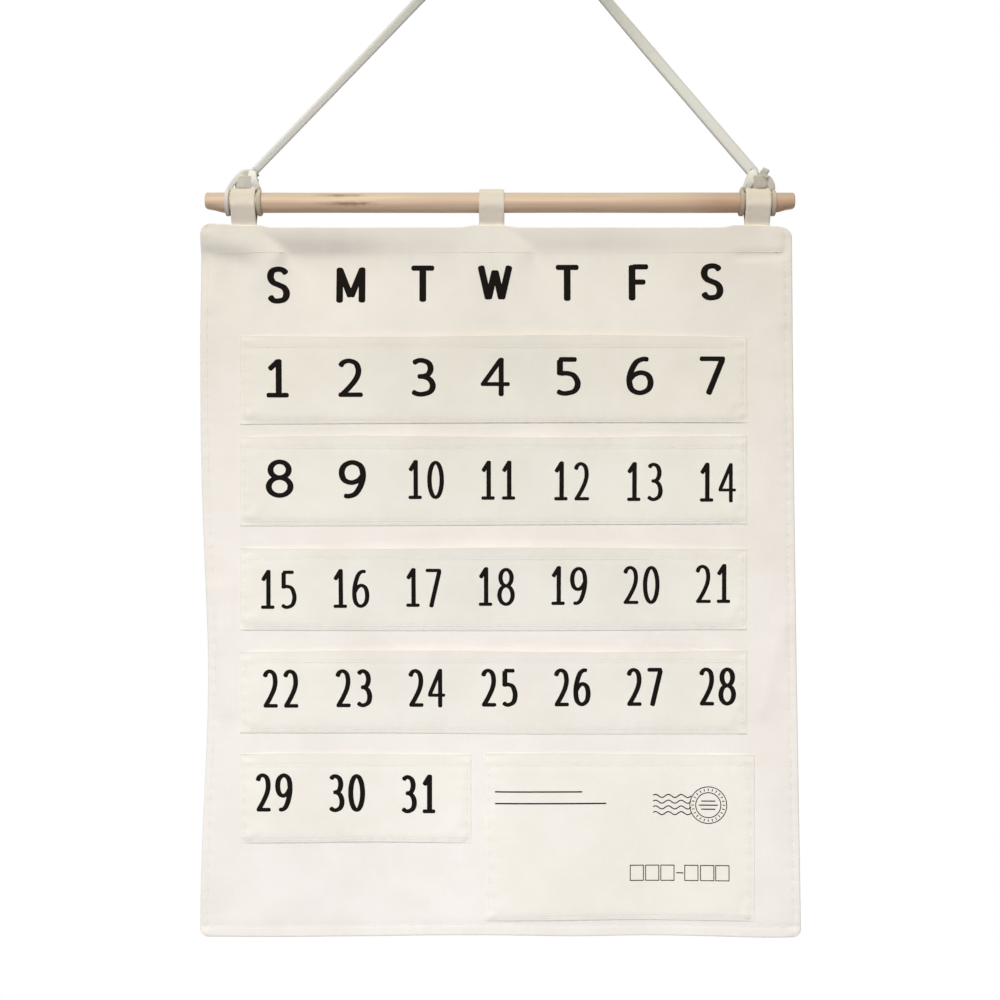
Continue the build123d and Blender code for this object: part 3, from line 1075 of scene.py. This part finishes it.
def ring(cx, cy, rx, ry):
    a = np.linspace(0, 2 * np.pi, 48, endpoint=False)
    return np.stack([cx + rx * np.sin(a), cy + ry * np.cos(a)], axis=-1)


# strokes of each figure in a unit box: four numbers are a ring, two points a line, more points a curve
figures = {
    "0": [(0.5, 0.5, 0.5, 0.5)],
    "1": [((0.02, 0.76), (0.56, 1.03)), ((0.56, 1.07), (0.56, 0.0)), ((-0.12, 0), (1.12, 0))],
    "2": [((0.03, 0.83), (0.17, 0.95), (0.46, 1.0), (0.79, 0.92), (0.91, 0.72), (0.82, 0.50), (0.50, 0.24),
           (0.06, -0.03)), ((-0.06, 0), (1.12, 0))],
    "3": [((0.05, 0.91), (0.24, 0.98), (0.47, 1.0), (0.78, 0.93), (0.90, 0.76), (0.78, 0.59), (0.52, 0.53),
           (0.26, 0.525)),
          ((0.26, 0.525), (0.54, 0.52), (0.85, 0.44), (1.0, 0.26), (0.88, 0.08), (0.50, 0.0), (0.22, 0.015),
           (0.0, 0.08))],
    "4": [((0.76, 1.05), (0.76, -0.06)), ((0.74, 1.0), (0.0, 0.29)), ((-0.10, 0.29), (1.12, 0.29))],
    "5": [((0.95, 1), (0.07, 1)), ((0.13, 1.0), (0.13, 0.53)),
          ((0.13, 0.575), (0.42, 0.595), (0.80, 0.53), (1.0, 0.30), (0.86, 0.08), (0.46, 0.0), (0.2, 0.01),
           (0.0, 0.07))],
    "6": [((0.90, 0.985), (0.64, 1.0), (0.33, 0.91), (0.09, 0.65), (0.0, 0.36), (0.12, 0.10), (0.5, 0.0),
           (0.88, 0.10), (1.0, 0.31), (0.88, 0.52), (0.55, 0.60), (0.22, 0.53), (0.02, 0.40))],
    "7": [((-0.12, 1), (1.12, 1)), ((1.0, 1.0), (0.30, -0.06))],
    "8": [(0.5, 0.765, 0.42, 0.235), (0.5, 0.265, 0.5, 0.265)],
    "S": [((0.94, 0.86), (0.76, 0.97), (0.47, 1.0), (0.16, 0.93), (0.06, 0.75), (0.20, 0.59), (0.5, 0.51),
           (0.82, 0.42), (0.96, 0.24), (0.84, 0.06), (0.5, 0.0), (0.20, 0.03), (0.02, 0.16))],
    "M": [((0, -0.06), (0, 1.06)), ((0.0, 1.0), (0.5, 0.12)), ((0.5, 0.12), (1.0, 1.0)),
          ((1, 1.06), (1, -0.06))],
    "T": [((-0.1, 1), (1.1, 1)), ((0.5, 1), (0.5, -0.06))],
    "W": [((0.0, 1.05), (0.27, 0.0)), ((0.27, 0.0), (0.5, 0.9)), ((0.5, 0.9), (0.73, 0.0)),
          ((0.73, 0.0), (1.0, 1.05))],
    "F": [((0, 1.06), (0, -0.06)), ((0, 1), (1.1, 1)), ((0, 0.52), (0.92, 0.52))],
}
figures["9"] = [tuple((1 - x, 1 - y) for x, y in figures["6"][0])]


def figureStrokes(sign, u, w, wide, tall, pen):
    # the sign's strokes on the chart: its box centred on (u, w), pen lines inside it
    size = np.array([wide - pen, tall - pen])
    corner = np.array([u, w]) - size / 2
    made = []
    for stroke in figures[sign]:
        closed = np.ndim(stroke) == 1
        if closed:
            shape = ring(*stroke)
        else:
            shape = np.array(stroke, dtype=float) if len(stroke) == 2 else curveThrough(stroke, 0.02)
        made.append((corner + shape * size, pen, closed))
    return made


def printOn(name, strokes, surface):
    # each stroke a thin strip, offset half a pen to both sides, wider where it runs upright, and a film
    # above the cloth
    allPoints, allFaces, count = [], [], 0
    for k, (shape, pen, closed) in enumerate(strokes):
        line = evenly(shape, min(1.0, max(0.35, pen / 2.5)), closed)
        if not closed:
            tip = unit(line[1] - line[0]) * pen, unit(line[-1] - line[-2]) * pen
            soft = np.array([0.0, 0.06, 0.14, 0.25])[:, None]
            line = np.concatenate([line[0] + soft * tip[0], line[1:-1], line[-1] - soft[::-1] * tip[1]])
        ahead = np.roll(line, -1, axis=0) - np.roll(line, 1, axis=0) if closed else np.gradient(line, axis=0)
        run = runAlong(line)
        near = np.full(len(line), pen) if closed else np.minimum(run, run[-1] - run)
        stress = 1 + (penSizes["stress"] if pen > penSizes["bold"] else 0) * unit(ahead)[:, 1] ** 2
        half = (pen / 2 * stress * np.maximum(fold(near, 0.36 * pen), 0.45))[:, None]
        normal = unit(ahead)[:, ::-1] * np.array([-1, 1]) * half
        left, right = line + normal, line - normal
        # films differ a little, so that crossing strokes don't lie in one plane
        film = penSizes["film"] + penSizes["filmStep"] * (k % 4)
        rails = [(left, film), (right, film), (right, -penSizes["sink"]), (left, -penSizes["sink"])]
        rails = [place(r[:, 0], surface(r[:, 0], r[:, 1]) + lift, r[:, 1]) for r, lift in rails]
        points = np.stack(rails, axis=1)
        rows = len(points)
        if closed:
            points = np.concatenate([points, points[:1]])
        faces = gridFaces(len(points), 4, wrap=True)
        faces = np.where(faces >= rows * 4, faces - rows * 4, faces) + count
        allFaces += faces.tolist()
        if not closed:
            allFaces.append([count + i for i in (3, 2, 1, 0)])
            allFaces.append([count + rows * 4 - 4 + i for i in range(4)])
        allPoints.append(points[:rows].reshape(-1, 3))
        count += rows * 4
    piece = makePiece(name, np.concatenate(allPoints), allFaces, printInk)
    piece.data.polygons.foreach_set("use_smooth", np.zeros(len(piece.data.polygons), dtype=bool))


numberLook = {
    "tall": 22.6,
    "single": 14.9,
    "pair": 9.3,
    "widths": {"1": 0.9, "4": 1.1, "6": 1.03, "8": 1.05, "9": 1.03},
    "pens": {"4": 0.84, "2": 0.96},
    "pitch": 12.1,
    # each row's first number, its place across, column spacing, height at the left and right columns,
    # weight of the pairs
    "rows": ((1, -131.2, 42.75, -104.2, -102.6, 1.0), (8, -130.0, 43.0, -163.4, -165.7, 0.80),
             (15, -130.9, 42.8, -228.9, -225.5, 0.78), (22, -129.3, 42.9, -287.1, -286.1, 0.89),
             (29, -133.4, 42.7, -348.3, -352.5, 0.91)),
}


def numberRow(k):
    look = numberLook
    first, start, spacing, leftW, rightW, weight = look["rows"][k]
    strokes = []
    for column in range(3 if k == 4 else 7):
        text = str(first + column)
        u, w = start + column * spacing, leftW + (rightW - leftW) * column / 6
        wide, pen = look["single"], penSizes["single"]
        if len(text) == 2:
            wide, pen = look["pair"], penSizes["pair"] * weight
        for i, sign in enumerate(text):
            at = u + (i - (len(text) - 1) / 2) * look["pitch"]
            signWide, signPen = wide * look["widths"].get(sign, 1), pen * look["pens"].get(sign, 1)
            strokes += figureStrokes(sign, at, w, signWide, look["tall"], signPen)
    printOn(f"numbersRow{k + 1}", strokes, lambda u, w: pocketFace(pocketNames[k], u, w))


for k in range(5):
    numberRow(k)

# Weekday initials over the seven columns
initials = {"signs": "SMTWTFS", "start": -131.2, "spacing": 42.75, "height": -47.9, "rise": 0.9, "tall": 22.0,
            "wide": {"S": 13.6, "M": 16.4, "T": 14.4, "W": 20.0, "F": 11.8}}
letterStrokes = []
for column, sign in enumerate(initials["signs"]):
    w = initials["height"] + initials["rise"] * (column - 3) / 3
    u = initials["start"] + column * initials["spacing"]
    letterStrokes += figureStrokes(sign, u, w, initials["wide"][sign], initials["tall"], penSizes["initial"])
printOn("weekdayInitials", letterStrokes, panelFace)

# Card print on the letter pocket: two rules, a ringed mark with waves, and two groups of boxes with a dash
cardLook = {
    # from, to and height of each rule
    "rules": ((-3.0, 48.5, -348.2), (-3.0, 62.8, -355.1)),
    # the mark's middle, outer and inner radius and ticks, and its bars' places up and half lengths
    "mark": (123.0, -356.2, 11.1, 7.4, 24),
    "bars": ((2.4, 4.2), (0, 5.6), (-2.4, 4.2)),
    # from, to, the top wave's height, spacing, swing and wavelength
    "waves": (90.5, 113.0, -350.9, -3.4, 0.9, 7.6),
    "boxes": (77.0, 86.1, 95.1, 109.2, 118.5, 127.4),
    "boxSize": 7.8,
    "boxTop": -391.9,
    "boxBottom": -400.9,
    "dash": (104.2, 108.4),
}


def segment(u0, w0, u1, w1, pen):
    return np.array([(u0, w0), (u1, w1)]), pen, False


def cardStrokes():
    look = cardLook
    strokes = [segment(a, w, b, w, penSizes["rule"]) for a, b, w in look["rules"]]
    u, w, outer, inner, ticks = look["mark"]
    pen = penSizes["mark"]
    strokes += [(ring(u, w, r, r), pen, True) for r in (outer - pen / 2, inner)]
    for a in np.linspace(0, 2 * np.pi, ticks, endpoint=False):
        way = np.array([np.sin(a), np.cos(a)])
        strokes.append(segment(*((u, w) + way * (inner + 1.0)), *((u, w) + way * (outer - 1.2)), pen))
    strokes += [segment(u - r, w + d, u + r, w + d, pen * 1.3) for d, r in look["bars"]]
    a, b, top, step, high, long = look["waves"]
    x = np.linspace(a, b, 60)
    wave = high * np.sin(2 * np.pi * (x - a) / long + 0.4)
    for k in range(4):
        strokes.append((np.stack([x, top + step * k + wave], axis=-1), pen * 1.2, False))
    top, bottom, pen = look["boxTop"], look["boxBottom"], penSizes["box"]
    for left in look["boxes"]:
        right = left + look["boxSize"]
        a, b = left - pen / 2, right + pen / 2
        strokes += [segment(a, y, b, y, pen) for y in (top, bottom)]
        strokes += [segment(x, top, x, bottom, pen) for x in (left, right)]
    mid = (top + bottom) / 2
    return strokes + [segment(look["dash"][0], mid, look["dash"][1], mid, pen * 1.2)]


printOn("cardPrint", cardStrokes(), lambda u, w: pocketFace("letter_pocket", u, w))
print("print laid")

# Floor, light and camera
studio = {
    "floor": -1.2,
    "floorCorners": ((-1.3, -0.8), (1.3, -0.8), (1.3, 0.72), (-1.3, 0.72)),
    "ambient": 0.45,
    "air": (1.0, 0.99, 0.975, 1),
    "cameraBack": 0.952,
    "cameraHeight": -0.3530,
    "lens": 57.87,
    "sensor": 36.0,
}
# each light's place, aim, power, size and colour, and a spot's cone in degrees
lights = {
    "keyLight": ((-0.3, -1.95, 1.9), (0.0, 0.0, -0.30), 53.5, 1.5, (1.0, 0.978, 0.727)),
    "footLight": ((-0.45, -1.9, 0.35), (0.0, 0.0, -0.70), 109.0, 0.6, (0.925, 1.0, 1.35), 38.0),
    "backLight": ((0.3, 2.2, -0.25), (0.0, 0.0, -0.32), 20.0, 1.2, (1.0, 0.98, 0.95)),
}


def floorPlane():
    mesh = bpy.data.meshes.new("studioFloor")
    corners = [(x, y, studio["floor"]) for x, y in studio["floorCorners"]]
    mesh.from_pydata(corners, [], [(0, 1, 2, 3)])
    material, *_ = newMaterial("paleFloor", {"Base Color": (0.86, 0.86, 0.85, 1), "Roughness": 0.8})
    mesh.materials.append(material)
    linked("studioFloor", mesh)


def lamp(name, spot, aimAt, power, size, colour, cone=None):
    # a soft disc, or a soft spot when its cone is given in degrees
    light = bpy.data.lights.new(name, "SPOT" if cone else "AREA")
    if cone:
        light.spot_size, light.spot_blend, light.shadow_soft_size = np.radians(cone), 1.0, size / 2
    else:
        light.shape, light.size = "DISK", size
    light.energy, light.color = power, colour
    holder = linked(name, light)
    holder.location = spot
    aim = Vector(aimAt) - Vector(spot)
    holder.rotation_euler = aim.to_track_quat("-Z", "Y").to_euler()


def whiteWorld():
    # white to the camera, in reflections and through clear things, and for everything else an ambient
    # light that grows upwards
    world = bpy.data.worlds.new("studioWorld")
    world.use_nodes = True
    tree = world.node_tree
    wire = Wire(tree)
    seen = wire.node("ShaderNodeLightPath", {}, {}).socket.node.outputs
    rays = [Wire(tree, seen[f"Is {kind} Ray"]) for kind in ("Camera", "Glossy", "Transmission")]
    shown = (rays[0] + rays[1] + rays[2]).clamped()
    white = wire.node("ShaderNodeBackground", {}, {"Color": (1, 1, 1, 1), "Strength": 1.0})
    way = wire.part(wire.coords("Generated"), "Z")
    below, above = (wire.node("ShaderNodeBackground", {}, {"Color": studio["air"], "Strength": strength})
                    for strength in (0.0, studio["ambient"]))
    ambient = wire.node("ShaderNodeMixShader", {}, {0: wire.ramp(way, -0.7, 0.9), 1: below, 2: above})
    mixed = wire.node("ShaderNodeMixShader", {}, {0: shown, 1: ambient, 2: white})
    tree.links.new(mixed.socket, tree.nodes["World Output"].inputs["Surface"])
    bpy.context.scene.world = world


floorPlane()
whiteWorld()
for name, settings in lights.items():
    lamp(name, *settings)
camera = linked("chartCamera", bpy.data.cameras.new("chartCamera"))
camera.data.lens = studio["lens"]
camera.data.sensor_width = studio["sensor"]
camera.location = (middle[0], -studio["cameraBack"], studio["cameraHeight"])
camera.rotation_euler = (np.pi / 2, 0, 0)
bpy.context.scene.camera = camera
bpy.context.scene.view_settings.view_transform = "Standard"
print("studio set")
